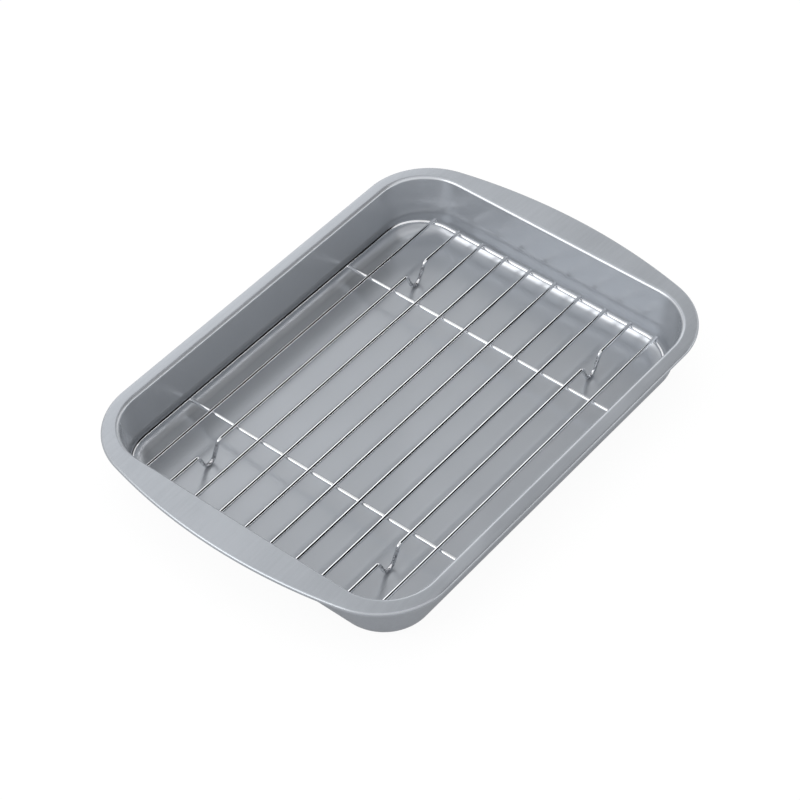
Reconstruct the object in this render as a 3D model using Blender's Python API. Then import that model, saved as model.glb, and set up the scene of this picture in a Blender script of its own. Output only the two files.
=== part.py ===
"""Draining tray with a lift-out wire rack, as separate sub-parts in metres, +Z up.

The tray is one pressed sheet: a flat floor, sloping walls, a slightly drooping flange that
widens into a handle at each short end, and a rolled outer edge. The rack is welded from rods:
one bent frame, two crossbars and ten long wires, two of which are bent down into feet.
The tray lies along X and stands on z = 0, with its middle on the Z axis.
"""
import math

import bmesh
import bpy
from mathutils import Vector

# Gap that is kept between pieces that touch or are welded on the real object.
SEAT_GAP = 0.0003

# Tray: the mouth is where the flange ends and the bend into the wall starts.
SHEET = 0.0008
TRAY_HEIGHT = 0.0485
MOUTH_LENGTH = 0.354
MOUTH_WIDTH = 0.263
MOUTH_CORNER_RADIUS = 0.042
MOUTH_BEND_RADIUS = 0.0030
WALL_DRAFT = math.radians(6.8)
FLOOR_CORNER_RADIUS = 0.034
FLOOR_FILLET_RADIUS = 0.014

# Flange: its width along the long sides, its reach at the middle of each handle, and how far
# it droops from the mouth to the rolled edge.
SIDE_FLANGE_WIDTH = 0.0085
HANDLE_REACH = 0.023
FLANGE_DROOP = 0.0009
HANDLE_EDGE_RADIUS = 0.415
RIM_CORNER_EASE = 0.0045
EDGE_ROLL_DIAMETER = 0.0037
EDGE_ROLL_TURN = math.radians(270.0)

# Rack rods.
FRAME_DIAMETER = 0.0032
WIRE_DIAMETER = 0.0024
CROSSBAR_DIAMETER = 0.0028
WIRE_COUNT = 10
WIRE_END_SETBACK = 0.0015

# Rack in the tray: clearance to the walls at the height of the frame when it is centred, and
# how far it lies off the middle, pushed towards one end.
SIDE_CLEARANCE = 0.0011
END_CLEARANCE = 0.0041
FRAME_CORNER_TIGHTENING = 0.0035
RACK_OFF_MIDDLE_X = -0.0030
RACK_OFF_MIDDLE_Y = 0.0003

# Feet: bends in the second wire from each long side, two to a wire. Both foot wires are
# bent alike, with the feet a little off the middle, and one lies turned end for end.
FOOT_DROP = 0.0152
FOOT_SPAN = 0.025
FEET_OFF_MIDDLE = 0.0018
FOOT_BEND_RADIUS = 0.0056
SHOULDER_BEND_RADIUS = 0.0030
FOOT_FROM_END = 0.0504
FOOT_TO_CROSSBAR = 0.0277

# Fineness of the round stretches.
CORNER_STEPS = 14
HANDLE_STEPS = 6
LONG_SIDE_STEPS = 1
FILLET_STEPS = 5
BEND_STEPS = 4
ROLL_STEPS = 12
FRAME_CORNER_STEPS = 10
FOOT_BEND_STEPS = 9
SHOULDER_STEPS = 4
ROD_BEVEL_RESOLUTION = 4

# Sizes that follow from those above.
MOUTH_HALF_LENGTH = MOUTH_LENGTH / 2
MOUTH_HALF_WIDTH = MOUTH_WIDTH / 2
RIM_HALF_LENGTH = MOUTH_HALF_LENGTH + HANDLE_REACH
RIM_HALF_WIDTH = MOUTH_HALF_WIDTH + SIDE_FLANGE_WIDTH
RIM_CORNER_RADIUS = MOUTH_CORNER_RADIUS + SIDE_FLANGE_WIDTH + RIM_CORNER_EASE
ROLL_RADIUS = EDGE_ROLL_DIAMETER / 2
WIRE_RADIUS = WIRE_DIAMETER / 2
FRAME_RADIUS = FRAME_DIAMETER / 2
CROSSBAR_RADIUS = CROSSBAR_DIAMETER / 2
WIRE_LEVEL = SHEET + SEAT_GAP + WIRE_RADIUS + FOOT_DROP
FRAME_LEVEL = WIRE_LEVEL - WIRE_RADIUS - SEAT_GAP - FRAME_RADIUS
CROSSBAR_LEVEL = WIRE_LEVEL - WIRE_RADIUS - SEAT_GAP - CROSSBAR_RADIUS


def clear_scene():
    for thing in list(bpy.context.scene.objects):
        bpy.data.objects.remove(thing, do_unlink=True)


def make_material(name, colour, roughness, metallic):
    material = bpy.data.materials.new(name)
    material.use_nodes = True
    shader = material.node_tree.nodes["Principled BSDF"]
    shader.inputs["Base Color"].default_value = (*colour, 1.0)
    shader.inputs["Roughness"].default_value = roughness
    shader.inputs["Metallic"].default_value = metallic
    return material


def arc_angles(start, end, steps):
    return [start + (end - start) * step / steps for step in range(steps + 1)]


def wall_top():
    """Where the bend at the mouth runs into the wall: outward offset and height, top side."""
    offset = -MOUTH_BEND_RADIUS * math.cos(WALL_DRAFT)
    height = TRAY_HEIGHT - MOUTH_BEND_RADIUS * (1 - math.sin(WALL_DRAFT))
    return offset, height


def fillet_centre():
    """Centre of the fillet between wall and floor, as outward offset and height."""
    top_offset, top_height = wall_top()
    height = SHEET + FLOOR_FILLET_RADIUS
    rise = math.sin(WALL_DRAFT) * (top_height - height)
    offset = top_offset - (FLOOR_FILLET_RADIUS + rise) / math.cos(WALL_DRAFT)
    return offset, height


def wall_offset(height):
    """Outward offset from the mouth of the wall's inner face at a height above z = 0."""
    centre_offset, centre_height = fillet_centre()
    fillet_top = centre_height - FLOOR_FILLET_RADIUS * math.sin(WALL_DRAFT)
    if height < fillet_top:
        drop = centre_height - height
        return centre_offset + math.sqrt(FLOOR_FILLET_RADIUS ** 2 - drop ** 2)
    top_offset, top_height = wall_top()
    return top_offset - math.tan(WALL_DRAFT) * (top_height - height)


def sheet_profile(depth):
    """One face of the sheet from the floor to the mouth: offset, height and corner radius.

    depth is 0 for the upper face and the sheet's thickness for the lower one.
    """
    centre_offset, centre_height = fillet_centre()
    profile = []
    for angle in arc_angles(0.0, math.pi / 2 - WALL_DRAFT, FILLET_STEPS):
        upper_offset = centre_offset + FLOOR_FILLET_RADIUS * math.sin(angle)
        outward = depth * math.sin(angle)
        height = centre_height - (FLOOR_FILLET_RADIUS + depth) * math.cos(angle)
        radius = wall_corner_radius(upper_offset) + outward
        profile.append((upper_offset + outward, height, radius))
    bend_height = TRAY_HEIGHT - MOUTH_BEND_RADIUS
    for angle in arc_angles(math.pi / 2 - WALL_DRAFT, 0.0, BEND_STEPS):
        upper_offset = -MOUTH_BEND_RADIUS * math.sin(angle)
        outward = depth * math.sin(angle)
        height = bend_height + (MOUTH_BEND_RADIUS - depth) * math.cos(angle)
        radius = wall_corner_radius(upper_offset) + outward
        profile.append((upper_offset + outward, height, radius))
    return profile


def roll_profile(depth):
    """Offsets from the roll's centre line and heights of one face of the rolled edge."""
    radius = ROLL_RADIUS - depth
    centre_height = TRAY_HEIGHT - FLANGE_DROOP - ROLL_RADIUS
    return [(radius * math.sin(angle), centre_height + radius * math.cos(angle))
            for angle in arc_angles(0.0, EDGE_ROLL_TURN, ROLL_STEPS)]


def floor_corner_offset():
    """Outward offset from the mouth at which the wall, if it ran on, would meet the floor."""
    top_offset, top_height = wall_top()
    return top_offset - math.tan(WALL_DRAFT) * (top_height - SHEET)


def wall_corner_radius(offset):
    """Corner radius of the sheet's upper face at an outward offset from the mouth."""
    share = offset / floor_corner_offset()
    return MOUTH_CORNER_RADIUS + (FLOOR_CORNER_RADIUS - MOUTH_CORNER_RADIUS) * share


def all_round(quarter):
    """Carry the points of the quarter x >= 0, y >= 0 once round the tray, anticlockwise."""
    points = []
    for along_x, along_y in ((1, 1), (-1, 1), (-1, -1), (1, -1)):
        flipped = [Vector((point.x * along_x, point.y * along_y)) for point in quarter]
        if along_x * along_y < 0:
            flipped.reverse()
        for point in flipped:
            if not points or (point - points[-1]).length > SEAT_GAP:
                points.append(point)
    if (points[0] - points[-1]).length < SEAT_GAP:
        points.pop()
    return points


def wall_ring(offset, corner_radius):
    """A level line round the walls: straight sides and round corners."""
    half_length = MOUTH_HALF_LENGTH + offset
    half_width = MOUTH_HALF_WIDTH + offset
    corner = Vector((half_length - corner_radius, half_width - corner_radius))
    quarter = []
    for step in range(HANDLE_STEPS):
        quarter.append(Vector((half_length, corner.y * step / HANDLE_STEPS)))
    for angle in arc_angles(0.0, math.pi / 2, CORNER_STEPS):
        quarter.append(corner + Vector((math.cos(angle), math.sin(angle))) * corner_radius)
    for step in range(1, LONG_SIDE_STEPS + 1):
        quarter.append(Vector((corner.x * (1 - step / LONG_SIDE_STEPS), half_width)))
    return all_round(quarter)


def rim_ring(offset):
    """A level line along the rolled edge, in step with those of the walls.

    A wide arc forms the edge of each handle and runs smoothly into the corner arcs.
    """
    handle_centre = RIM_HALF_LENGTH - HANDLE_EDGE_RADIUS
    corner_y = RIM_HALF_WIDTH - RIM_CORNER_RADIUS
    between = HANDLE_EDGE_RADIUS - RIM_CORNER_RADIUS
    corner = Vector((handle_centre + math.sqrt(between ** 2 - corner_y ** 2), corner_y))
    join_angle = math.asin(corner_y / between)
    handle_radius = HANDLE_EDGE_RADIUS - ROLL_RADIUS + offset
    corner_radius = RIM_CORNER_RADIUS - ROLL_RADIUS + offset
    quarter = []
    for step in range(HANDLE_STEPS):
        angle = join_angle * step / HANDLE_STEPS
        place = Vector((math.cos(angle), math.sin(angle))) * handle_radius
        quarter.append(Vector((handle_centre, 0.0)) + place)
    for angle in arc_angles(join_angle, math.pi / 2, CORNER_STEPS):
        quarter.append(corner + Vector((math.cos(angle), math.sin(angle))) * corner_radius)
    for step in range(1, LONG_SIDE_STEPS + 1):
        reach = corner.x * (1 - step / LONG_SIDE_STEPS)
        quarter.append(Vector((reach, corner.y + corner_radius)))
    return all_round(quarter)


def add_ring(mesh, points, height):
    return [mesh.verts.new((point.x, point.y, height)) for point in points]


def join_rings(mesh, lower, upper):
    count = len(lower)
    for index in range(count):
        after = (index + 1) % count
        mesh.faces.new((lower[index], lower[after], upper[after], upper[index]))


def build_tray(material):
    """The pressed sheet: both faces, from the floor out to the free edge inside the roll."""
    mesh = bmesh.new()
    rings = []
    for offset, height, radius in sheet_profile(0.0):
        rings.append(add_ring(mesh, wall_ring(offset, radius), height))
    for offset, height in roll_profile(0.0) + roll_profile(SHEET)[::-1]:
        rings.append(add_ring(mesh, rim_ring(offset), height))
    for offset, height, radius in reversed(sheet_profile(SHEET)):
        rings.append(add_ring(mesh, wall_ring(offset, radius), height))
    for lower, upper in zip(rings, rings[1:]):
        join_rings(mesh, lower, upper)
    mesh.faces.new(rings[0])
    mesh.faces.new(rings[-1])
    bmesh.ops.recalc_face_normals(mesh, faces=mesh.faces)
    data = bpy.data.meshes.new("tray_pan")
    mesh.to_mesh(data)
    mesh.free()
    data.shade_smooth()
    data.set_sharp_from_angle(angle=math.radians(35.0))
    data.materials.append(material)
    tray = bpy.data.objects.new("tray_pan", data)
    bpy.context.scene.collection.objects.link(tray)
    return tray


def add_rod(name, points, diameter, material, closed=False):
    """A round rod along a line of points given from the object's own origin."""
    curve = bpy.data.curves.new(name, "CURVE")
    curve.dimensions = "3D"
    curve.bevel_depth = diameter / 2
    curve.bevel_resolution = ROD_BEVEL_RESOLUTION
    curve.use_fill_caps = not closed
    line = curve.splines.new("POLY")
    line.points.add(len(points) - 1)
    for spot, point in zip(line.points, points):
        spot.co = (*point, 1.0)
        spot.radius = 1.0
    line.use_cyclic_u = closed
    line.use_smooth = True
    curve.materials.append(material)
    rod = bpy.data.objects.new(name, curve)
    bpy.context.scene.collection.objects.link(rod)
    return rod


def frame_half_sizes():
    """Half length, half width and corner radius of the frame's centre line."""
    inset = wall_offset(FRAME_LEVEL)
    half_length = MOUTH_HALF_LENGTH + inset - END_CLEARANCE - FRAME_RADIUS
    half_width = MOUTH_HALF_WIDTH + inset - SIDE_CLEARANCE - FRAME_RADIUS
    corner_radius = wall_corner_radius(inset) - FRAME_CORNER_TIGHTENING
    return half_length, half_width, corner_radius


def build_frame(material):
    half_length, half_width, radius = frame_half_sizes()
    points = []
    for quarter, (along_x, along_y) in enumerate(((1, 1), (-1, 1), (-1, -1), (1, -1))):
        centre = Vector((along_x * (half_length - radius), along_y * (half_width - radius), 0.0))
        start = quarter * math.pi / 2
        for angle in arc_angles(start, start + math.pi / 2, FRAME_CORNER_STEPS):
            points.append(centre + Vector((math.cos(angle), math.sin(angle), 0.0)) * radius)
    return add_rod("rack_frame", points, FRAME_DIAMETER, material, closed=True)


def crossbar_points():
    """The crossbar's ends stand against the inner sides of the frame's long rods."""
    half_width = frame_half_sizes()[1]
    reach = half_width - FRAME_RADIUS - SEAT_GAP
    return [Vector((0.0, -reach, 0.0)), Vector((0.0, reach, 0.0))]


def foot_points(centre_x):
    """One foot in the XZ plane: shoulder, leg, round toe, leg and shoulder.

    Each leg is the line that touches both the shoulder arc and the toe arc.
    """
    toe_centre = Vector((centre_x, FOOT_BEND_RADIUS - FOOT_DROP))
    shoulder_x = FOOT_SPAN / 2
    shoulder_centre = Vector((centre_x - shoulder_x, -SHOULDER_BEND_RADIUS))
    between = toe_centre - shoulder_centre
    cross_reach = math.asin((FOOT_BEND_RADIUS + SHOULDER_BEND_RADIUS) / between.length)
    leg_turn = math.atan2(-between.y, between.x) + cross_reach
    left = []
    for angle in arc_angles(0.0, leg_turn, SHOULDER_STEPS):
        swing = Vector((math.sin(angle), math.cos(angle)))
        left.append(shoulder_centre + swing * SHOULDER_BEND_RADIUS)
    toe = []
    for angle in arc_angles(-leg_turn, leg_turn, FOOT_BEND_STEPS):
        swing = Vector((math.sin(angle), -math.cos(angle)))
        toe.append(toe_centre + swing * FOOT_BEND_RADIUS)
    right = [Vector((2 * centre_x - point.x, point.y)) for point in reversed(left)]
    return [Vector((point.x, 0.0, point.y)) for point in left + toe + right]


def build_wires(material):
    """Ten wires at an even pitch across the frame, lying on its end rods."""
    half_length, half_width, _ = frame_half_sizes()
    pitch = 2 * half_width / (WIRE_COUNT + 1)
    wire_end = half_length + FRAME_RADIUS - WIRE_END_SETBACK
    foot_x = half_length - FOOT_FROM_END
    wires = []
    for number in range(1, WIRE_COUNT + 1):
        ends = [Vector((-wire_end, 0.0, 0.0)), Vector((wire_end, 0.0, 0.0))]
        if number in (2, WIRE_COUNT - 1):
            name = f"rack_foot_wire_{number:02d}"
            shift = -FEET_OFF_MIDDLE if number == 2 else FEET_OFF_MIDDLE
            feet = foot_points(shift - foot_x) + foot_points(shift + foot_x)
            points = [ends[0], *feet, ends[1]]
        else:
            name = f"rack_wire_{number:02d}"
            points = ends
        wire = add_rod(name, points, WIRE_DIAMETER, material)
        wire.location = (0.0, half_width - number * pitch, WIRE_LEVEL)
        wires.append(wire)
    return wires


def build_rack(material):
    """The rack hangs from one empty on the line along which it lifts out of the tray."""
    lift = bpy.data.objects.new("rack_lift", None)
    lift.location = (RACK_OFF_MIDDLE_X, RACK_OFF_MIDDLE_Y, 0.0)
    bpy.context.scene.collection.objects.link(lift)
    frame = build_frame(material)
    frame.location = (0.0, 0.0, FRAME_LEVEL)
    crossbar_x = frame_half_sizes()[0] - FOOT_FROM_END - FOOT_TO_CROSSBAR
    crossbars = []
    for name, side in (("rack_crossbar_left", -1), ("rack_crossbar_right", 1)):
        crossbar = add_rod(name, crossbar_points(), CROSSBAR_DIAMETER, material)
        crossbar.location = (side * crossbar_x, 0.0, CROSSBAR_LEVEL)
        crossbars.append(crossbar)
    for piece in (frame, *crossbars, *build_wires(material)):
        piece.parent = lift
    return lift


def main():
    clear_scene()
    coated_steel = make_material("coated_steel", (0.34, 0.35, 0.38), 0.42, 0.85)
    chromed_rod = make_material("chromed_rod", (0.72, 0.73, 0.75), 0.12, 1.0)
    build_tray(coated_steel)
    build_rack(chromed_rod)


main()
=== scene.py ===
import math

import bmesh
import bpy
from mathutils import Matrix, Vector, noise


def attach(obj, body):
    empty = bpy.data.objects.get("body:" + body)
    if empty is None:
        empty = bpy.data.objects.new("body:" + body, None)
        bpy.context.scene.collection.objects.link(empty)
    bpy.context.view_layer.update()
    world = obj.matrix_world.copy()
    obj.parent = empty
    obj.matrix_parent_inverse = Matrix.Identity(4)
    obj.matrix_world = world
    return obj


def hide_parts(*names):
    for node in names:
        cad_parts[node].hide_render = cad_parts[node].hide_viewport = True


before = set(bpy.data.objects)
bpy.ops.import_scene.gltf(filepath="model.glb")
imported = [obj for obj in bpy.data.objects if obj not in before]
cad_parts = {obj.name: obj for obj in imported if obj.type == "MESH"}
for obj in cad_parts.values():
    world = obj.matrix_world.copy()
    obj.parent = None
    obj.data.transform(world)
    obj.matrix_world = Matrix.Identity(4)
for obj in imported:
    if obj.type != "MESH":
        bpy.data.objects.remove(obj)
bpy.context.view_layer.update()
print("frame loaded:", len(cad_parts), "nodes")


# Helpers for the node trees of the materials and the studio
def newMaterial(name):
    material = bpy.data.materials.new(name)
    material.use_nodes = True
    tree = material.node_tree
    return material, tree, tree.nodes["Principled BSDF"]


def addNode(tree, kind, place=(0, 0), **sockets):
    node = tree.nodes.new(kind)
    node.location = place
    for key, value in sockets.items():
        node.inputs[key].default_value = value
    return node


# A number or a colour is set on the socket itself, and another node's output is linked to it
def feed(tree, socket, value):
    if isinstance(value, (int, float)):
        socket.default_value = value
    elif isinstance(value, tuple):
        socket.default_value = (*value, 1.0)
    else:
        tree.links.new(value, socket)


def mathNode(tree, operation, first, second):
    node = tree.nodes.new("ShaderNodeMath")
    node.operation = operation
    feed(tree, node.inputs[0], first)
    feed(tree, node.inputs[1], second)
    return node.outputs[0]


def product(tree, first, second):
    return mathNode(tree, "MULTIPLY", first, second)


def noiseNode(tree, vector, scale, detail, rough, place):
    node = addNode(tree, "ShaderNodeTexNoise", place, Scale=scale, Detail=detail, Roughness=rough)
    tree.links.new(vector, node.inputs["Vector"])
    return node.outputs["Fac"]


def stretched(tree, vector, scale, place):
    node = addNode(tree, "ShaderNodeMapping", place, Scale=scale)
    tree.links.new(vector, node.inputs["Vector"])
    return node.outputs["Vector"]


# A smooth step from low to high while the value goes from start to end
def ranged(tree, value, start, end, low, high):
    node = tree.nodes.new("ShaderNodeMapRange")
    node.interpolation_type = "SMOOTHSTEP"
    for slot, number in enumerate((start, end, low, high), 1):
        node.inputs[slot].default_value = number
    tree.links.new(value, node.inputs[0])
    return node.outputs[0]


def blended(tree, factor, first, second, place=(0, 0)):
    node = addNode(tree, "ShaderNodeMix", place)
    node.data_type = "RGBA"
    for slot, value in ((0, factor), (6, first), (7, second)):  # 6 and 7 are the two colours
        feed(tree, node.inputs[slot], value)
    return node.outputs[2]


def mixedValue(tree, factor, first, second):
    node = tree.nodes.new("ShaderNodeMix")
    node.data_type = "FLOAT"
    for slot, value in ((0, factor), (2, first), (3, second)):  # 2 and 3 are the two numbers
        feed(tree, node.inputs[slot], value)
    return node.outputs[0]


# A bump, over an earlier one where there is one
def bumpNode(tree, height, strength, depth, place, earlier=None):
    node = addNode(tree, "ShaderNodeBump", place, Distance=depth)
    feed(tree, node.inputs["Strength"], strength)
    tree.links.new(height, node.inputs["Height"])
    if earlier is not None:
        tree.links.new(earlier, node.inputs["Normal"])
    return node.outputs[0]


# The satin coating of the pan
coating = {
    "dark": (0.338, 0.358, 0.388),
    "light": (0.396, 0.418, 0.450),
    "metallic": 0.62,
    "mottleScale": 14.0,           # soft cloudiness
    "grainScale": (30.0, 420.0, 420.0),  # rolling direction of the sheet, along the tray
    "flakeScale": 2600.0,          # metal flakes in the coating, per metre
    "toneShares": (0.45, 0.20, 0.35),    # of clouds, grain and flakes in the colour
    "toneSpan": (0.35, 0.65),      # part of their sum that goes from dark to light
    "roughness": (0.36, 0.42),     # smoothest and dullest patches
    "roughnessSpan": (0.3, 0.7),   # part of the cloudiness between them
    "inside": (0.410, 0.432, 0.462),     # glossier and paler inside the pan than on the flange
    "insideClouds": (0.94, 1.06),  # that colour's darkest and palest clouds
    "insideRoughness": 0.27,
    "pressed": (0.56, 0.58, 0.61),       # painted highlight: paler colour on the bends where they face the lamps
    "pressedRoughness": 0.25,
    "pressedSpan": (0.62, 1.0),    # polish and sheen over which the painted highlight and its gloss take over
    "patchScale": (45.0, 45.0, 160.0),   # the painted highlight's weaker patches
    "patchSpan": (0.3, 0.6),
    "patchLeast": 0.75,
    "flakeBump": 0.05,
    "flakeDepth": 0.0001,
    "peelBump": 0.03,              # orange peel
    "peelDepth": 0.0003,
    "peelScale": 330.0,
}


def tinted(colour, level):
    return tuple(level * part for part in colour)


def satinCoating():
    s = coating
    material, tree, shader = newMaterial("satinCoating")
    place = tree.nodes.new("ShaderNodeTexCoord").outputs["Object"]
    rolled = stretched(tree, place, s["grainScale"], (-1100, 0))
    sheenPatchPlace = stretched(tree, place, s["patchScale"], (-1100, 600))
    patches = noiseNode(tree, sheenPatchPlace, 1.0, 3.0, 0.6, (-900, 600))
    mottle = noiseNode(tree, place, s["mottleScale"], 3.0, 0.5, (-900, 300))
    grain = noiseNode(tree, rolled, 1.0, 2.0, 0.5, (-900, 0))
    flake = noiseNode(tree, place, s["flakeScale"], 2.0, 0.7, (-900, -300))
    peel = noiseNode(tree, place, s["peelScale"], 2.0, 0.5, (-900, -600))
    attribute = tree.nodes.new("ShaderNodeAttribute")
    attribute.attribute_name = "polishAndSheen"
    polishAndSheen = attribute.outputs["Fac"]

    clouds, lines, specks = s["toneShares"]
    tone = mathNode(tree, "ADD", product(tree, mottle, clouds), product(tree, grain, lines))
    tone = mathNode(tree, "ADD", tone, product(tree, flake, specks))
    lightness = ranged(tree, tone, *s["toneSpan"], 0.0, 1.0)
    outside = blended(tree, lightness, s["dark"], s["light"], (-300, 300))
    inside = ranged(tree, polishAndSheen, 0.0, pan["insidePolish"], 0.0, 1.0)
    # painted highlight: where the polish and sheen is high, the bends turn paler and glossier, in patches
    pressed = product(tree, ranged(tree, polishAndSheen, *s["pressedSpan"], 0.0, 1.0),
                      ranged(tree, patches, *s["patchSpan"], s["patchLeast"], 1.0))
    darkest, palest = s["insideClouds"]
    clouded = blended(tree, mottle, tinted(s["inside"], darkest), tinted(s["inside"], palest))
    colour = blended(tree, pressed, blended(tree, inside, outside, clouded), s["pressed"])
    tree.links.new(colour, shader.inputs["Base Color"])

    plain = ranged(tree, mottle, *s["roughnessSpan"], *s["roughness"])
    unpressed = mixedValue(tree, inside, plain, s["insideRoughness"])
    gloss = mixedValue(tree, pressed, unpressed, s["pressedRoughness"])
    tree.links.new(gloss, shader.inputs["Roughness"])
    shader.inputs["Metallic"].default_value = s["metallic"]
    fine = bumpNode(tree, flake, s["flakeBump"], s["flakeDepth"], (-300, -400))
    coarse = bumpNode(tree, peel, s["peelBump"], s["peelDepth"], (-100, -400), fine)
    tree.links.new(coarse, shader.inputs["Normal"])
    return material


# The chrome of the rods
chrome = {
    "bright": (0.74, 0.75, 0.77),
    "tarnished": (0.66, 0.66, 0.67),
    "cloudScale": 70.0,
    "tarnishSpan": (0.52, 0.78),   # part of the cloudiness that goes from bright to tarnished
    "roughness": (0.03, 0.07),
    "dullShares": (0.7, 0.3),      # of clouds and drawing lines in the roughness
    "dullSpan": (0.35, 0.68),      # part of their sum between the two
    "drawnScale": (12.0, 900.0, 900.0),  # drawing lines along the wire
    "drawnBump": 0.06,
    "drawnDepth": 0.0001,
    "feetShade": (0.40, 0.40, 0.42),       # painted shade, darker on the low parts of the feet
    "feetShadeAndMarkScale": 420.0,
    "feetShadeSpan": (0.40, 0.55),
    "bruiseBump": 0.6,
    "bruiseDepth": 0.0002,
    "feetShadeHeights": (0.0160, 0.0140),   # the painted shade fades in between them, and above the upper one there is none
}


# turned is for the rods that run across the tray, and bent for the wires with feet
def drawnChrome(name, turned=False, bent=False):
    s = chrome
    material, tree, shader = newMaterial(name)
    place = tree.nodes.new("ShaderNodeTexCoord").outputs["Object"]
    along, across, upward = s["drawnScale"]
    scale = (across, along, upward) if turned else (along, across, upward)
    drawn = noiseNode(tree, stretched(tree, place, scale, (-1100, 0)), 1.0, 2.0, 0.6, (-900, 0))
    cloud = noiseNode(tree, place, s["cloudScale"], 4.0, 0.6, (-900, 300))
    tarnish = ranged(tree, cloud, *s["tarnishSpan"], 0.0, 1.0)
    colour = blended(tree, tarnish, s["bright"], s["tarnished"], (-300, 300))
    clouds, lines = s["dullShares"]
    dull = mathNode(tree, "ADD", product(tree, cloud, clouds), product(tree, drawn, lines))
    tree.links.new(ranged(tree, dull, *s["dullSpan"], *s["roughness"]), shader.inputs["Roughness"])
    shader.inputs["Metallic"].default_value = 1.0
    bump = bumpNode(tree, drawn, s["drawnBump"], s["drawnDepth"], (-300, -300))
    if bent:
        apart = addNode(tree, "ShaderNodeSeparateXYZ", (-1100, -600))
        tree.links.new(place, apart.inputs[0])
        # painted shade: the feet are darker in patches below a height, and the same marks are bumps there
        low = ranged(tree, apart.outputs["Z"], *s["feetShadeHeights"], 0.0, 1.0)
        marks = noiseNode(tree, place, s["feetShadeAndMarkScale"], 2.0, 0.6, (-900, -600))
        dark = product(tree, low, ranged(tree, marks, *s["feetShadeSpan"], 1.0, 0.0))
        colour = blended(tree, dark, colour, s["feetShade"])
        strength = product(tree, low, s["bruiseBump"])
        bump = bumpNode(tree, marks, strength, s["bruiseDepth"], (-100, -500), bump)
    tree.links.new(colour, shader.inputs["Base Color"])
    tree.links.new(bump, shader.inputs["Normal"])
    return material


# The pan
pan = {
    "sheet": 0.0008,
    "height": 0.0485,
    "mouth": (0.354, 0.263),       # where the bend from flange to wall starts
    "mouthCorner": 0.042,
    "mouthBend": 0.0030,
    "draft": 6.8,                  # degrees
    "floorCorner": 0.034,
    "fillet": 0.014,
    "sideFlange": 0.0085,
    "handleReach": 0.023,
    "droop": 0.0009,               # from the mouth out to the roll
    "handleArc": 0.415,
    "rimCornerEase": 0.0045,
    "roll": 0.0037,
    "rollTurn": 270.0,             # degrees
    "insidePolish": 0.6,
    "filletPolishAndSheen": (48.0, 28.0, 1.0),   # painted highlight and gloss of the fillet, bend and roll: middle and reach in degrees from level, and strength
    "bendPolishAndSheen": (46.0, 32.0, 1.0),
    "rollPolishAndSheen": (42.0, 34.0, 0.7),
    "cornerSteps": 44,
    "handleSteps": 20,
    "filletSteps": 22,
    "bendSteps": 12,
    "rollSteps": 36,
    "sharpAngle": 35.0,            # degrees from which an edge is shaded as an edge
    "samePoint": 1e-5,             # nearer points of a ring are one
}


def arcAngles(start, end, steps):
    return [start + (end - start) * step / steps for step in range(steps + 1)]


# The wall's inner face: offsets are counted outwards from the mouth, and heights from the ground
def panSizes():
    p = pan
    draft = math.radians(p["draft"])
    topOffset = -p["mouthBend"] * math.cos(draft)
    topHeight = p["height"] - p["mouthBend"] * (1 - math.sin(draft))
    centreHeight = p["sheet"] + p["fillet"]
    rise = topHeight - centreHeight
    return {
        "draft": draft,
        "topOffset": topOffset,
        "topHeight": topHeight,
        "centreOffset": topOffset - (p["fillet"] + math.sin(draft) * rise) / math.cos(draft),
        "centreHeight": centreHeight,
        "floorOffset": topOffset - math.tan(draft) * (topHeight - p["sheet"]),
    }


def cornerRadius(offset):
    share = offset / panSizes()["floorOffset"]
    return pan["mouthCorner"] + (pan["floorCorner"] - pan["mouthCorner"]) * share


# Where the inner face of the wall stands at a height above the fillet
def wallOffset(height):
    sizes = panSizes()
    return sizes["topOffset"] - math.tan(sizes["draft"]) * (sizes["topHeight"] - height)


# How far the coating is made glossier and painted with a highlight at an angle of a bend
def polishAndSheenAt(angle, spread):
    middle, reach, strength = spread
    return strength * max(0.0, 1.0 - ((math.degrees(angle) - middle) / reach) ** 2)


# Offset, height, corner radius and polish with painted highlight from the floor up to the mouth, at a
# depth below the inner face
def faceProfile(depth):
    p = pan
    sizes = panSizes()
    steepest = math.pi / 2 - sizes["draft"]
    shown = 0.0 if depth else 1.0
    profile = []
    for angle in arcAngles(0.0, steepest, p["filletSteps"]):
        inner = sizes["centreOffset"] + p["fillet"] * math.sin(angle)
        outward = depth * math.sin(angle)
        height = sizes["centreHeight"] - (p["fillet"] + depth) * math.cos(angle)
        polishAndSheen = shown * max(p["insidePolish"], polishAndSheenAt(angle, p["filletPolishAndSheen"]))
        profile.append((inner + outward, height, cornerRadius(inner) + outward, polishAndSheen))
    for angle in arcAngles(steepest, 0.0, p["bendSteps"]):
        inner = -p["mouthBend"] * math.sin(angle)
        outward = depth * math.sin(angle)
        height = p["height"] - p["mouthBend"] + (p["mouthBend"] - depth) * math.cos(angle)
        inside = p["insidePolish"] * math.sin(angle)
        polishAndSheen = shown * max(inside, polishAndSheenAt(angle, p["bendPolishAndSheen"]))
        profile.append((inner + outward, height, cornerRadius(inner) + outward, polishAndSheen))
    return profile


# Offset, height and polish with painted highlight round the rolled edge
def rollProfile(depth):
    radius = pan["roll"] / 2 - depth
    centreHeight = pan["height"] - pan["droop"] - pan["roll"] / 2
    profile = []
    for angle in arcAngles(0.0, math.radians(pan["rollTurn"]), pan["rollSteps"]):
        height = centreHeight + radius * math.cos(angle)
        profile.append((radius * math.sin(angle), height, polishAndSheenAt(angle, pan["rollPolishAndSheen"])))
    return profile


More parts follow.
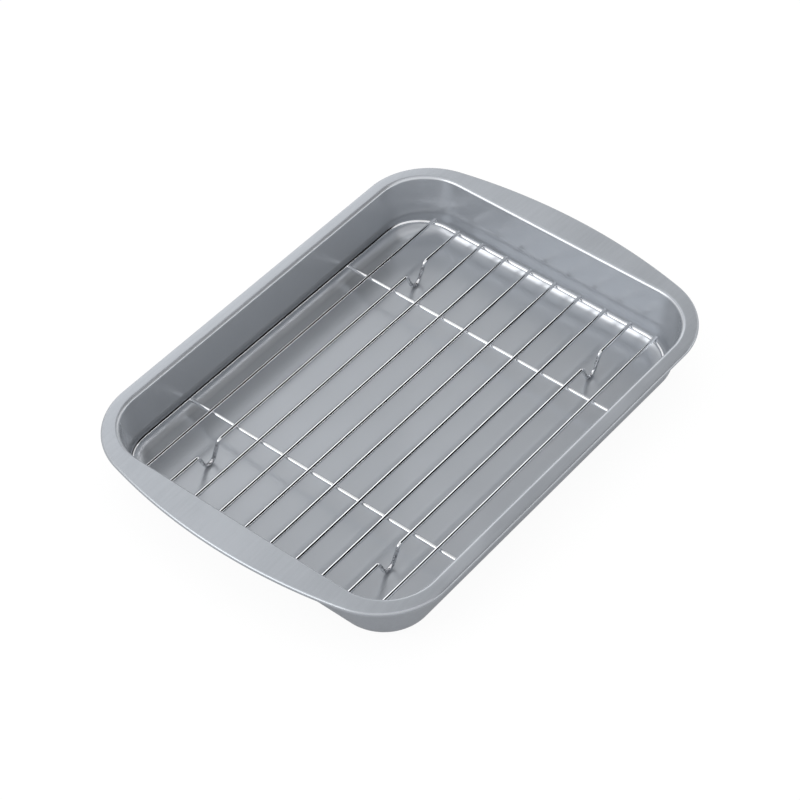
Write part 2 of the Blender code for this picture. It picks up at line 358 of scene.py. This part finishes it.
# One quarter of a ring, mirrored to the other three
def allRound(quarter):
    points = []
    for alongX, alongY in ((1, 1), (-1, 1), (-1, -1), (1, -1)):
        flipped = [Vector((x * alongX, y * alongY)) for x, y in quarter]
        if alongX * alongY < 0:
            flipped.reverse()
        for point in flipped:
            if not points or (point - points[-1]).length > pan["samePoint"]:
                points.append(point)
    if (points[0] - points[-1]).length < pan["samePoint"]:
        points.pop()
    return points


def wallRing(offset, radius):
    halfLength = pan["mouth"][0] / 2 + offset
    halfWidth = pan["mouth"][1] / 2 + offset
    cornerX, cornerY = halfLength - radius, halfWidth - radius
    quarter = [(halfLength, cornerY * step / pan["handleSteps"]) for step in range(pan["handleSteps"])]
    for angle in arcAngles(0.0, math.pi / 2, pan["cornerSteps"]):
        quarter.append((cornerX + math.cos(angle) * radius, cornerY + math.sin(angle) * radius))
    quarter.append((0.0, halfWidth))
    return allRound(quarter)


# The handle's large arc and the corner's arc meet without a kink
def rimRing(offset):
    p = pan
    rollRadius = p["roll"] / 2
    rimHalfLength = p["mouth"][0] / 2 + p["handleReach"]
    rimHalfWidth = p["mouth"][1] / 2 + p["sideFlange"]
    rimCorner = p["mouthCorner"] + p["sideFlange"] + p["rimCornerEase"]
    middle = rimHalfLength - p["handleArc"]
    cornerY = rimHalfWidth - rimCorner
    between = p["handleArc"] - rimCorner
    cornerX = middle + math.sqrt(between ** 2 - cornerY ** 2)
    join = math.asin(cornerY / between)
    quarter = []
    reach = p["handleArc"] - rollRadius + offset
    for step in range(p["handleSteps"]):
        angle = join * step / p["handleSteps"]
        quarter.append((middle + math.cos(angle) * reach, math.sin(angle) * reach))
    reach = rimCorner - rollRadius + offset
    for angle in arcAngles(join, math.pi / 2, p["cornerSteps"]):
        quarter.append((cornerX + math.cos(angle) * reach, cornerY + math.sin(angle) * reach))
    quarter.append((0.0, cornerY + reach))
    return allRound(quarter)


# Rings from the floor's inner face over the roll and back to the floor's outer face
def buildPan(material):
    mesh = bmesh.new()
    layer = mesh.verts.layers.float.new("polishAndSheen")
    rings = []

    def addRing(points, height, polishAndSheen):
        corners = [mesh.verts.new((x, y, height)) for x, y in points]
        for corner in corners:
            corner[layer] = polishAndSheen
        rings.append(corners)

    for offset, height, radius, polishAndSheen in faceProfile(0.0):
        addRing(wallRing(offset, radius), height, polishAndSheen)
    for offset, height, polishAndSheen in rollProfile(0.0) + rollProfile(pan["sheet"])[::-1]:
        addRing(rimRing(offset), height, polishAndSheen)
    for offset, height, radius, polishAndSheen in reversed(faceProfile(pan["sheet"])):
        addRing(wallRing(offset, radius), height, polishAndSheen)
    for lower, upper in zip(rings, rings[1:]):
        for k in range(len(lower)):
            after = (k + 1) % len(lower)
            mesh.faces.new((lower[k], lower[after], upper[after], upper[k]))
    mesh.faces.new(rings[0])
    mesh.faces.new(rings[-1])
    bmesh.ops.recalc_face_normals(mesh, faces=mesh.faces)
    data = bpy.data.meshes.new("trayPan")
    mesh.to_mesh(data)
    mesh.free()
    data.shade_smooth()
    data.set_sharp_from_angle(angle=math.radians(pan["sharpAngle"]))
    data.materials.append(material)
    piece = bpy.data.objects.new("trayPan", data)
    bpy.context.scene.collection.objects.link(piece)
    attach(piece, "tray")
    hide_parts("tray_pan")


# The rack
rack = {
    "gap": 0.0003,                 # kept where rods touch
    "frameRod": 0.0032,
    "wireRod": 0.0024,
    "crossRod": 0.0028,
    "wireProud": 0.0002,           # all round over the thickness of their solids, as photographed
    "wires": 10,
    "footWire": 2,                 # counted from each side
    "endSetback": 0.0015,          # the wires end over the frame's end rods
    "sideClearance": 0.0011,
    "endClearance": 0.0041,
    "cornerTightening": 0.0035,
    "offMiddle": (-0.0030, 0.0003, 0.0),  # it lies loose in the pan
    "footDrop": 0.0152,
    "footSpan": 0.0250,
    "feetOffMiddle": (-0.0018, 0.0018),   # of the left and of the right foot wire
    "toeBend": 0.0056,
    "shoulderBend": 0.0030,
    "footFromEnd": 0.0504,
    "footToCross": 0.0277,
    "cornerSteps": 28,
    "toeSteps": 24,
    "shoulderSteps": 9,
    "roundness": 9,                # bevel resolution of the rods
    "steadyReach": 0.0015,
    "endEase": 0.0005,             # length over which a cut end is rounded
    "endSteps": ((0.0, 0.62), (0.35, 0.88), (1.0, 1.0)),  # share of that length, share of the radius
    "sharpAngle": 50.0,            # degrees
}


# Levels of the rods' middles, and half sizes of the frame's middle line
def rackSizes():
    r = rack
    wireLevel = pan["sheet"] + r["gap"] + r["wireRod"] / 2 + r["footDrop"]
    frameLevel = wireLevel - r["wireRod"] / 2 - r["gap"] - r["frameRod"] / 2
    inset = wallOffset(frameLevel)
    return {
        "wireLevel": wireLevel,
        "frameLevel": frameLevel,
        "crossLevel": wireLevel - r["wireRod"] / 2 - r["gap"] - r["crossRod"] / 2,
        "halfLength": pan["mouth"][0] / 2 + inset - r["endClearance"] - r["frameRod"] / 2,
        "halfWidth": pan["mouth"][1] / 2 + inset - r["sideClearance"] - r["frameRod"] / 2,
        "corner": cornerRadius(inset) - r["cornerTightening"],
    }


def wireLine(number):
    return rackSizes()["halfWidth"] * (1 - 2 * number / (rack["wires"] + 1))


def crossX():
    return rackSizes()["halfLength"] - rack["footFromEnd"] - rack["footToCross"]


# Extra points just inside the ends of long straights, so that the shading stays straight there
def steadied(points, closed):
    near = rack["steadyReach"]
    result = []
    last = len(points) if closed else len(points) - 1
    for k in range(last):
        start, end = points[k], points[(k + 1) % len(points)]
        result.append(start)
        if (end - start).length > 3 * near:
            step = (end - start).normalized() * near
            result += [start + step, end - step]
    if not closed:
        result.append(points[-1])
    return result


# Extra points at both cut ends, where the rod narrows
def easedEnds(points):
    first, last = points[0], points[-1]
    fromFirst = (points[1] - first).normalized() * rack["endEase"]
    fromLast = (points[-2] - last).normalized() * rack["endEase"]
    shares = [share for share, _ in rack["endSteps"]]
    return ([first + fromFirst * share for share in shares] + points[1:-1]
            + [last + fromLast * share for share in reversed(shares)])


# A round rod along points that are given from the middle of the rack
def rod(name, node, points, diameter, material, closed=False):
    points = steadied(points, closed)
    if not closed:
        points = easedEnds(points)
    curve = bpy.data.curves.new(name, "CURVE")
    curve.dimensions = "3D"
    curve.bevel_depth = diameter / 2
    curve.bevel_resolution = rack["roundness"]
    curve.use_fill_caps = not closed
    line = curve.splines.new("POLY")
    line.points.add(len(points) - 1)
    for spot, point in zip(line.points, points):
        spot.co = (*point, 1.0)
        spot.radius = 1.0
    if not closed:
        for k, (_, radius) in enumerate(rack["endSteps"]):
            line.points[k].radius = radius
            line.points[-1 - k].radius = radius
    line.use_cyclic_u = closed
    holder = bpy.data.objects.new(name + "Line", curve)
    bpy.context.scene.collection.objects.link(holder)
    bpy.context.view_layer.update()
    data = bpy.data.meshes.new_from_object(holder.evaluated_get(bpy.context.evaluated_depsgraph_get()))
    bpy.data.objects.remove(holder, do_unlink=True)
    data.name = name
    data.transform(Matrix.Translation(rack["offMiddle"]))
    data.shade_smooth()
    data.set_sharp_from_angle(angle=math.radians(rack["sharpAngle"]))
    data.materials.clear()
    data.materials.append(material)
    piece = bpy.data.objects.new(name, data)
    bpy.context.scene.collection.objects.link(piece)
    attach(piece, "rack")
    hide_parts(node)


def buildFrame(material):
    sizes = rackSizes()
    radius = sizes["corner"]
    cornerX, cornerY = sizes["halfLength"] - radius, sizes["halfWidth"] - radius
    points = []
    for quarter, (alongX, alongY) in enumerate(((1, 1), (-1, 1), (-1, -1), (1, -1))):
        centre = Vector((alongX * cornerX, alongY * cornerY, sizes["frameLevel"]))
        start = quarter * math.pi / 2
        for angle in arcAngles(start, start + math.pi / 2, rack["cornerSteps"]):
            points.append(centre + Vector((math.cos(angle), math.sin(angle), 0.0)) * radius)
    rod("rackFrame", "rack_frame", points, rack["frameRod"], material, closed=True)


def buildCrossbars(material):
    sizes = rackSizes()
    reach = sizes["halfWidth"] - rack["frameRod"] / 2 - rack["gap"]
    for side, word in ((-1, "Left"), (1, "Right")):
        ends = [Vector((side * crossX(), y, sizes["crossLevel"])) for y in (-reach, reach)]
        rod("crossbar" + word, "rack_crossbar_" + word.lower(), ends, rack["crossRod"], material)


# Shoulder, leg, round toe, leg and shoulder, in the plane of the wire
def footLine(centreX):
    r = rack
    toe = Vector((centreX, r["toeBend"] - r["footDrop"]))
    shoulder = Vector((centreX - r["footSpan"] / 2, -r["shoulderBend"]))
    between = toe - shoulder
    slope = math.atan2(-between.y, between.x)
    turn = slope + math.asin((r["toeBend"] + r["shoulderBend"]) / between.length)
    left = []
    for angle in arcAngles(0.0, turn, r["shoulderSteps"]):
        left.append(shoulder + Vector((math.sin(angle), math.cos(angle))) * r["shoulderBend"])
    bottom = []
    for angle in arcAngles(-turn, turn, r["toeSteps"]):
        bottom.append(toe + Vector((math.sin(angle), -math.cos(angle))) * r["toeBend"])
    right = [Vector((2 * centreX - point.x, point.y)) for point in reversed(left)]
    return left + bottom + right


def buildWires(material, footMaterial):
    sizes = rackSizes()
    end = sizes["halfLength"] + rack["frameRod"] / 2 - rack["endSetback"]
    footX = sizes["halfLength"] - rack["footFromEnd"]
    thickness = rack["wireRod"] + 2 * rack["wireProud"]
    leftShift, rightShift = rack["feetOffMiddle"]
    shifts = {rack["footWire"]: leftShift, rack["wires"] + 1 - rack["footWire"]: rightShift}
    for number in range(1, rack["wires"] + 1):
        flat = [Vector((-end, 0.0)), Vector((end, 0.0))]
        name, node, finish = f"wire{number:02d}", f"rack_wire_{number:02d}", material
        if number in shifts:
            flat[1:1] = footLine(shifts[number] - footX) + footLine(shifts[number] + footX)
            name, node, finish = f"footWire{number:02d}", f"rack_foot_wire_{number:02d}", footMaterial
        y = wireLine(number)
        points = [Vector((x, y, sizes["wireLevel"] + z)) for x, z in flat]
        rod(name, node, points, thickness, finish)


# Welds
welds = {
    "crossing": (0.00155, 0.00125, 0.00075),   # half sizes where a wire crosses a rod
    "crossbarEnd": (0.0016, 0.0011, 0.0013),
    "rows": 7,
    "turns": 14,
    "squeeze": 0.12,               # wider along and across the wire than between
    "unevenness": 0.16,
    "lumpScale": 1.3,
    "lumpStep": (3.7, 1.9),        # from one bead's noise to the next one's
}


# A squeezed weld bead
def addBead(mesh, centre, size, seed):
    w = welds
    stepX, stepY = w["lumpStep"]
    lumps = Vector((seed * stepX, seed * stepY, 0.0))
    rings = []
    for row in range(1, w["rows"]):
        polar = math.pi * row / w["rows"]
        ring = []
        for step in range(w["turns"]):
            around = 2 * math.pi * step / w["turns"]
            level = math.sin(polar)
            way = Vector((level * math.cos(around), level * math.sin(around), math.cos(polar)))
            swell = 1 + w["squeeze"] * math.cos(4 * around) * level
            swell += w["unevenness"] * noise.noise(way * w["lumpScale"] + lumps)
            point = Vector((way.x * size[0], way.y * size[1], way.z * size[2]))
            ring.append(mesh.verts.new(centre + point * swell))
        rings.append(ring)
    top = mesh.verts.new(centre + Vector((0, 0, size[2])))
    bottom = mesh.verts.new(centre - Vector((0, 0, size[2])))
    for k in range(w["turns"]):
        after = (k + 1) % w["turns"]
        mesh.faces.new((top, rings[0][k], rings[0][after]))
        mesh.faces.new((bottom, rings[-1][after], rings[-1][k]))
        for upper, lower in zip(rings, rings[1:]):
            mesh.faces.new((upper[k], lower[k], lower[after], upper[after]))


def buildWelds(material):
    sizes = rackSizes()
    seat = sizes["wireLevel"] - rack["wireRod"] / 2 - rack["gap"] / 2
    barEnd = sizes["halfWidth"] - rack["frameRod"] / 2 - rack["gap"] / 2
    mesh = bmesh.new()
    seed = 0
    for number in range(1, rack["wires"] + 1):
        for x in (-sizes["halfLength"], -crossX(), crossX(), sizes["halfLength"]):
            seed += 1
            addBead(mesh, Vector((x, wireLine(number), seat)), welds["crossing"], seed)
    for x in (-crossX(), crossX()):
        for y in (-barEnd, barEnd):
            seed += 1
            addBead(mesh, Vector((x, y, sizes["crossLevel"])), welds["crossbarEnd"], seed)
    bmesh.ops.recalc_face_normals(mesh, faces=mesh.faces)
    data = bpy.data.meshes.new("weldBeads")
    mesh.to_mesh(data)
    mesh.free()
    data.transform(Matrix.Translation(rack["offMiddle"]))
    data.shade_smooth()
    data.materials.append(material)
    piece = bpy.data.objects.new("weldBeads", data)
    bpy.context.scene.collection.objects.link(piece)
    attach(piece, "rack")


buildPan(satinCoating())
print("pan built")
alongChrome = drawnChrome("chromeAlong")
acrossChrome = drawnChrome("chromeAcross", turned=True)
buildFrame(alongChrome)
buildCrossbars(acrossChrome)
buildWires(alongChrome, drawnChrome("chromeFeet", bent=True))
buildWelds(acrossChrome)
print("rack built")


# Floor, backdrop and light
studio = {
    "floorSize": 6.0,
    "floorWhite": 0.93,            # share of plain white that the camera sees, the rest takes the shadow
    "floorSeen": (0.96, 0.96, 0.96),     # colour of that rest
    "floorMatt": (0.50, 0.50, 0.51),     # its colour for every other ray
    "floorInMetal": 0.30,          # share of plain white in what the metal reflects
    "diffuseLevel": 0.90,
    # the dark card that the wires mirror: shares of X and Y in the direction, soft edge to soft edge
    "cardAcross": (0.28, 0.42, 0.68, 0.82),
    "cardStart": (0.34, 0.44),
    "cardFoot": (-0.87, -0.76),
    "cardLevels": (0.006, 0.42),   # of the card itself and of its paler foot
    "window": (0.46, 0.56),        # brighter wall past the card: share of Y, soft edge to full
    "windowLevel": 2.0,
    "horizon": (0.02, 0.30),       # share of Z over which the backdrop brightens
    "horizonLevel": 0.40,          # at the floor
    "overhead": (33.0, 23.0),      # bright ceiling panel: degrees to its soft edge and to full
    "overheadLevel": 2.3,
    "mirroredPanel": (0.05, 0.35),       # the panel in metal: share of X, soft edge to full
    "mirroredLevel": 0.38,         # part of it that the metal shows
    "lampAim": (0.0, 0.0, 0.02),
    "lamps": (
        # name, place, size, watts
        ("lowRight", (1.20, -1.75, 0.36), (1.9, 0.48), 6.2),
        ("leftKey", (-1.80, 0.77, 1.20), (1.6, 1.7), 17.0),
    ),
}


# Rays that arrive by way of a mirroring or clear surface
def mirroredRays(tree, light):
    return mathNode(tree, "MAXIMUM", light.outputs["Is Glossy Ray"], light.outputs["Is Transmission Ray"])


def paleFloor():
    material = bpy.data.materials.new("paleFloor")
    material.use_nodes = True
    tree = material.node_tree
    tree.nodes.clear()
    light = addNode(tree, "ShaderNodeLightPath", (-800, 200))
    white = addNode(tree, "ShaderNodeEmission", (-300, 100), Strength=1.0)
    matt = addNode(tree, "ShaderNodeBsdfDiffuse", (-300, -100))
    seen = light.outputs["Is Camera Ray"]
    tree.links.new(blended(tree, seen, studio["floorMatt"], studio["floorSeen"]), matt.inputs["Color"])
    direct = product(tree, seen, studio["floorWhite"])
    reflected = product(tree, mirroredRays(tree, light), studio["floorInMetal"])
    mix = addNode(tree, "ShaderNodeMixShader", (0, 0))
    tree.links.new(mathNode(tree, "MAXIMUM", direct, reflected), mix.inputs[0])
    tree.links.new(matt.outputs[0], mix.inputs[1])
    tree.links.new(white.outputs[0], mix.inputs[2])
    out = addNode(tree, "ShaderNodeOutputMaterial", (200, 0))
    tree.links.new(mix.outputs[0], out.inputs["Surface"])
    return material


def buildFloor():
    mesh = bmesh.new()
    half = studio["floorSize"] / 2
    corners = [(-half, -half, 0.0), (half, -half, 0.0), (half, half, 0.0), (-half, half, 0.0)]
    mesh.faces.new([mesh.verts.new(corner) for corner in corners])
    data = bpy.data.meshes.new("floor")
    mesh.to_mesh(data)
    mesh.free()
    data.materials.append(paleFloor())
    floor = bpy.data.objects.new("floor", data)
    bpy.context.scene.collection.objects.link(floor)


# What the metal mirrors: card, window, ceiling panel and horizon, times each other
def mirroredGlow(tree, apart, panel):
    s = studio
    x, y, z = (apart.outputs[axis] for axis in "XYZ")
    outer, inner, innerEnd, outerEnd = s["cardAcross"]
    across = product(tree, ranged(tree, x, outer, inner, 0.0, 1.0),
                     ranged(tree, x, innerEnd, outerEnd, 1.0, 0.0))
    card = product(tree, across, ranged(tree, y, *s["cardStart"], 1.0, 0.0))
    dark, pale = s["cardLevels"]
    shade = mixedValue(tree, card, 1.0, ranged(tree, y, *s["cardFoot"], pale, dark))
    window = product(tree, across, ranged(tree, y, *s["window"], 0.0, 1.0))
    lifted = mixedValue(tree, window, 1.0, s["windowLevel"])
    part = ranged(tree, x, *s["mirroredPanel"], 0.0, s["mirroredLevel"])
    ceiling = mixedValue(tree, part, 1.0, panel)
    rising = ranged(tree, z, *s["horizon"], s["horizonLevel"], 1.0)
    return product(tree, product(tree, shade, lifted), product(tree, ceiling, rising))


def buildWorld():
    world = bpy.data.worlds.new("studioWorld")
    bpy.context.scene.world = world
    world.use_nodes = True
    tree = world.node_tree
    tree.nodes.clear()
    way = addNode(tree, "ShaderNodeTexCoord", (-1200, 0)).outputs["Generated"]
    unit = tree.nodes.new("ShaderNodeVectorMath")
    unit.operation = "NORMALIZE"
    tree.links.new(way, unit.inputs[0])
    apart = addNode(tree, "ShaderNodeSeparateXYZ", (-900, -200))
    tree.links.new(unit.outputs[0], apart.inputs[0])
    edge, full = (math.cos(math.radians(angle)) for angle in studio["overhead"])
    panel = ranged(tree, apart.outputs["Z"], edge, full, 1.0, studio["overheadLevel"])
    light = addNode(tree, "ShaderNodeLightPath", (-800, 300))
    matt = product(tree, panel, studio["diffuseLevel"])
    lit = mixedValue(tree, mirroredRays(tree, light), matt, mirroredGlow(tree, apart, panel))
    seen = mixedValue(tree, light.outputs["Is Camera Ray"], lit, 1.0)
    back = addNode(tree, "ShaderNodeBackground", (0, 0), Color=(1.0, 1.0, 1.0, 1.0))
    tree.links.new(seen, back.inputs["Strength"])
    out = addNode(tree, "ShaderNodeOutputWorld", (200, 0))
    tree.links.new(back.outputs[0], out.inputs["Surface"])


# Turns a lamp or a camera, which looks down its own -Z, to a direction
def pointTo(holder, direction):
    holder.rotation_mode = "QUATERNION"
    holder.rotation_quaternion = direction.to_track_quat("-Z", "Y")


def buildLamps():
    for name, place, size, watts in studio["lamps"]:
        lamp = bpy.data.lights.new(name, "AREA")
        lamp.shape = "RECTANGLE"
        lamp.size, lamp.size_y = size
        lamp.energy = watts
        holder = bpy.data.objects.new(name, lamp)
        holder.location = place
        pointTo(holder, Vector(studio["lampAim"]) - Vector(place))
        holder.visible_camera = False
        bpy.context.scene.collection.objects.link(holder)


# The photograph's angle, fitted on the rim and the rack
view = {
    "azimuth": -51.36,
    "elevation": 46.39,
    "distance": 1.7577,
    "lens": 113.58,
    "sensor": 36.0,
    "clip": (0.05, 50.0),
    "aim": (-0.00110, 0.00437, 0.01764),
}


def buildCamera():
    azimuth, elevation = math.radians(view["azimuth"]), math.radians(view["elevation"])
    level = math.cos(elevation)
    back = Vector((math.sin(azimuth) * level, -math.cos(azimuth) * level, math.sin(elevation)))
    data = bpy.data.cameras.new("camera")
    data.lens = view["lens"]
    data.sensor_width = view["sensor"]
    data.clip_start, data.clip_end = view["clip"]
    camera = bpy.data.objects.new("camera", data)
    camera.location = Vector(view["aim"]) + back * view["distance"]
    pointTo(camera, -back)
    bpy.context.scene.collection.objects.link(camera)
    bpy.context.scene.camera = camera


buildFloor()
buildWorld()
buildLamps()
buildCamera()
bpy.context.scene.view_settings.view_transform = "Standard"
print("studio built")
